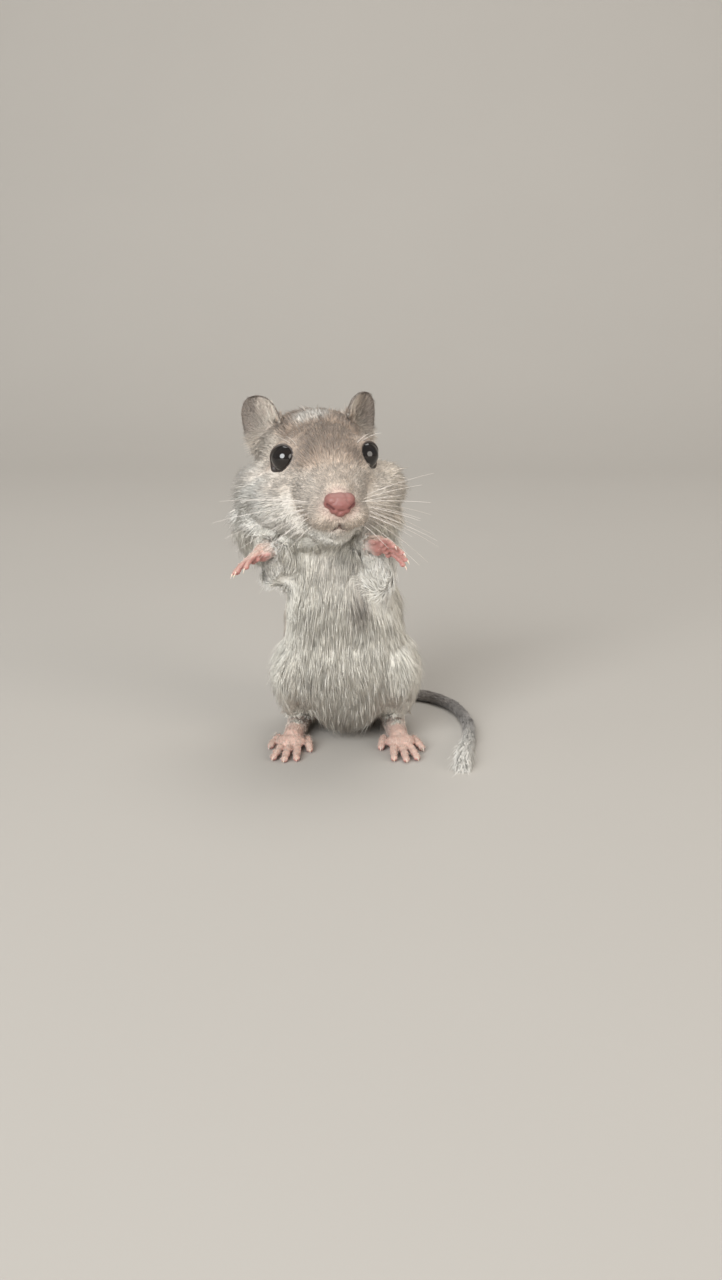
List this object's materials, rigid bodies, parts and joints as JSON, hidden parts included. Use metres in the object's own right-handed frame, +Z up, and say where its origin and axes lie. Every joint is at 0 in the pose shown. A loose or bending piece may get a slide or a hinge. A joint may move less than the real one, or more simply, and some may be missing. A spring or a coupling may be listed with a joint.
{
  "type": "gerbil",
  "caption": "Young gerbil sitting up on its hind feet, forepaws raised and spread, ears up, tufted tail laid round its side on the floor: a still life-size model.",
  "frame": {"origin": "middle of the box round the whole gerbil, on the floor it sits on", "axes": "+Z up, the body faces -Y, its left side is +X"},
  "size_m": [0.0418, 0.0474, 0.0594],
  "materials": {
    "taupe_coat": "short soft fur, taupe grey with a cream blaze and crown spot",
    "pale_coat": "long soft fur, cream white below and taupe grey on the back and flanks",
    "pink_skin": "bare pink skin with fine pale hairs",
    "ear_skin": "thin grey skin with short pale hairs inside",
    "tail_coat": "short close grey hair with a whitish brush at the end",
    "eye_black": "wet gloss"
  },
  "bodies": {
    "root": {"head": "taupe_coat", "nose": "pink_skin", "neck": "taupe_coat", "torso": "pale_coat", "foreleg_left": "pale_coat", "foreleg_right": "pale_coat", "hind_leg_left": "pale_coat", "hind_leg_right": "pale_coat", "forepaw_left": "pink_skin", "forepaw_right": "pink_skin", "hind_foot_left": "pink_skin", "hind_foot_right": "pink_skin", "ear_left": "ear_skin", "ear_right": "ear_skin", "eye_left": "eye_black", "eye_right": "eye_black", "tail_base": "tail_coat", "tail_middle": "tail_coat", "tail_tip": "tail_coat"}
  },
  "joints": []
}
